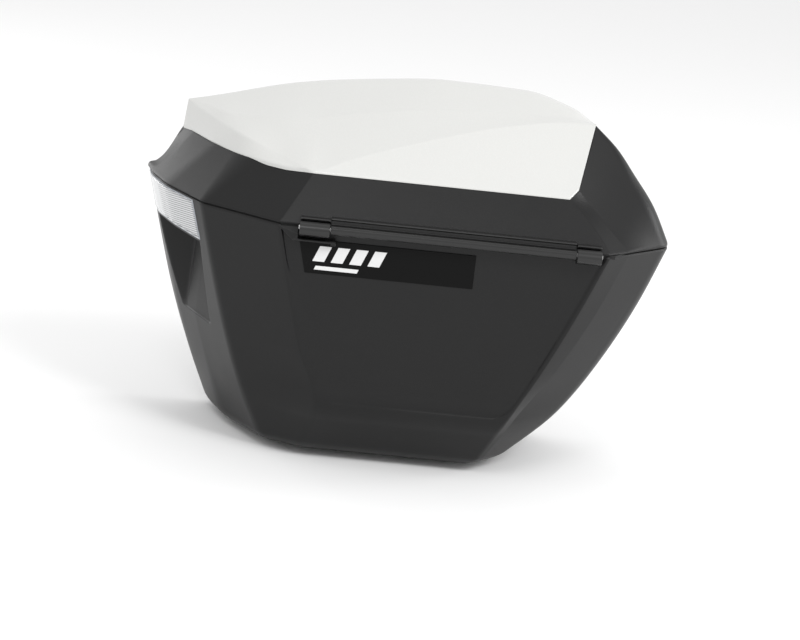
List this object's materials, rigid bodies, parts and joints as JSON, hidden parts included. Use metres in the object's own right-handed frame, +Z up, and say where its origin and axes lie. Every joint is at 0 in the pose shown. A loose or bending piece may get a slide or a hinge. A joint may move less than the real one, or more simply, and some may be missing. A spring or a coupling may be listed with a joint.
{
  "type": "motorcycle saddlebag",
  "caption": "Hard-shell saddlebag with a tapered tub, a hinged lid under a painted cover, an end reflector, and a latch, folding handle and quick-release plate on its inner side.",
  "frame": {"origin": "centre of the bounding box in plan, at the level of the feet", "axes": "+Z up with the case standing on its feet and the parting line level; +X along the case from the reflector end to the other end; +Y from the hinged outer face to the side that faces the motorcycle"},
  "size_m": [0.5075, 0.222, 0.3613],
  "materials": {
    "tub_plastic": "fine-grained satin black",
    "lid_plastic": "fine-grained satin black",
    "hinge_plastic": "satin black",
    "plate_plastic": "satin black",
    "fitting_plastic": "satin black",
    "white_paint": "pearl white gloss paint",
    "reflector_clear": "clear moulded prism lens",
    "reflector_white": "bright white backing",
    "seal_rubber": "matt rubber",
    "foot_rubber": "matt rubber",
    "steel": "zinc-plated steel"
  },
  "bodies": {
    "tub": {"tub_shell": "tub_plastic", "rim_seal": "seal_rubber", "foot_1": "foot_rubber", "foot_2": "foot_rubber", "foot_3": "foot_rubber", "foot_4": "foot_rubber", "name_plate": "plate_plastic", "reflector_housing": "reflector_white", "reflector_lens": "reflector_clear", "hinge_knuckle_left": "hinge_plastic", "hinge_knuckle_right": "hinge_plastic", "hinge_pin": "steel", "latch_base": "fitting_plastic", "latch_pin": "steel", "hook_pin": "steel", "handle_bracket_left": "fitting_plastic", "handle_bracket_right": "fitting_plastic", "mount_plate": "fitting_plastic", "plate_screw_1": "steel", "plate_screw_2": "steel", "plate_screw_3": "steel", "plate_screw_4": "steel", "socket_left": "steel", "socket_right": "steel", "release_housing": "fitting_plastic", "release_pin": "steel"},
    "lid": {"lid_frame": "lid_plastic", "lid_cover": "white_paint", "hinge_leaf": "hinge_plastic", "lid_striker": "steel"},
    "lever": {"latch_lever": "fitting_plastic"},
    "hook": {"latch_hook": "steel"},
    "lock": {"lock_cylinder": "steel"},
    "handle": {"carry_handle": "fitting_plastic"},
    "release": {"release_lever": "fitting_plastic"},
    "catch": {"release_catch": "steel"}
  },
  "joints": [
    {"name": "lid_hinge", "type": "hinge", "parent": "tub", "child": "lid", "pos_m": [0.045, -0.103, 0.239], "axis": [1, 0, 0], "range_deg": [0, 95]},
    {"name": "lever_pivot", "type": "hinge", "parent": "tub", "child": "lever", "pos_m": [-0.0085, 0.1065, 0.185], "axis": [-1, 0, 0], "range_deg": [0, 100]},
    {"name": "hook_pivot", "type": "hinge", "parent": "tub", "child": "hook", "pos_m": [-0.0085, 0.098, 0.217], "axis": [-1, 0, 0], "range_deg": [0, 16]},
    {"name": "lock_turn", "type": "hinge", "parent": "tub", "child": "lock", "pos_m": [-0.0085, 0.099, 0.167], "axis": [0, 1, 0], "range_deg": [0, 90]},
    {"name": "handle_pivot", "type": "hinge", "parent": "tub", "child": "handle", "pos_m": [-0.0085, 0.098, 0.219], "axis": [1, 0, 0], "range_deg": [0, 150]},
    {"name": "release_pivot", "type": "hinge", "parent": "tub", "child": "release", "pos_m": [-0.0085, 0.099, 0.091], "axis": [1, 0, 0], "range_deg": [0, 35], "stiffness_Nm_per_rad": 0.05},
    {"name": "catch_slide", "type": "slide", "parent": "tub", "child": "catch", "axis": [0, 0, 1], "range_m": [0, 0.006]}
  ],
  "couplings": [
    {"joint": "hook_pivot", "follows": "lever_pivot", "ratio": 0.16},
    {"joint": "release_pivot", "follows": "catch_slide", "rad_per_m": 101.8}
  ]
}
